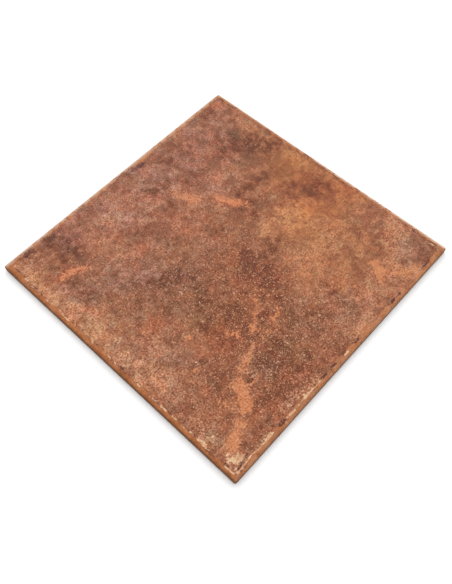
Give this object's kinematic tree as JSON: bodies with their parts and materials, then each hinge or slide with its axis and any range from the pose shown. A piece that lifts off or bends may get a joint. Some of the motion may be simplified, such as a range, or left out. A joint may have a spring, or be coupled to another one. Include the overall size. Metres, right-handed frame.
{
  "type": "clinker tile",
  "caption": "Square rustic clinker floor tile: flat mottled rust-brown glazed face, sloping rim with a wavering inner line, straight walls and a keyed back of shallow pockets between ribs.",
  "frame": {"origin": "centre of the bedding plane, where the crowns of the back ribs rest", "axes": "+Z out of the wear face, X and Y along the tile's sides"},
  "size_m": [0.33, 0.33, 0.0085],
  "materials": {
    "clinker": "satin rust-brown mottled glaze on the face and rim, unglazed red-brown fired body on the walls and back"
  },
  "bodies": {
    "root": {"tile": "clinker"}
  },
  "joints": []
}
